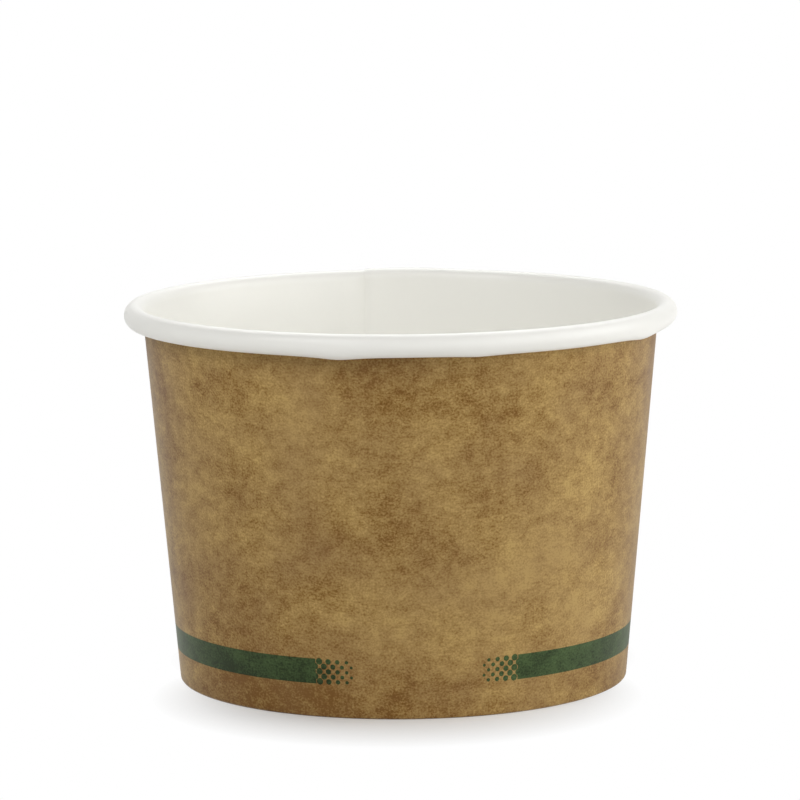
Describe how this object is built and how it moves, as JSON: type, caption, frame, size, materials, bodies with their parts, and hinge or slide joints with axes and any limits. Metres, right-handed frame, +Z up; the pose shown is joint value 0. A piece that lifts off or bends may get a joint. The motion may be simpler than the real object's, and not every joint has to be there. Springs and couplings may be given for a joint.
{
  "type": "paper bowl",
  "caption": "Round tapered paperboard bowl for hot food, with a rolled rim, a lapped side seam and a recessed base disc held in a folded foot.",
  "frame": {"origin": "on the bowl's axis, in the plane of the foot that it stands on", "axes": "+Z up along the bowl's axis, out of its mouth; -Y towards the front, where the printed stripe has its gap; +X to the right of someone who faces the front"},
  "size_m": [0.115, 0.1154, 0.0794],
  "materials": {
    "kraft_board": "printed kraft board outside, white coated board inside and over the rim",
    "white_board": "white coated board"
  },
  "bodies": {
    "root": {"side_wall": "kraft_board", "base_disc": "white_board"}
  },
  "joints": []
}
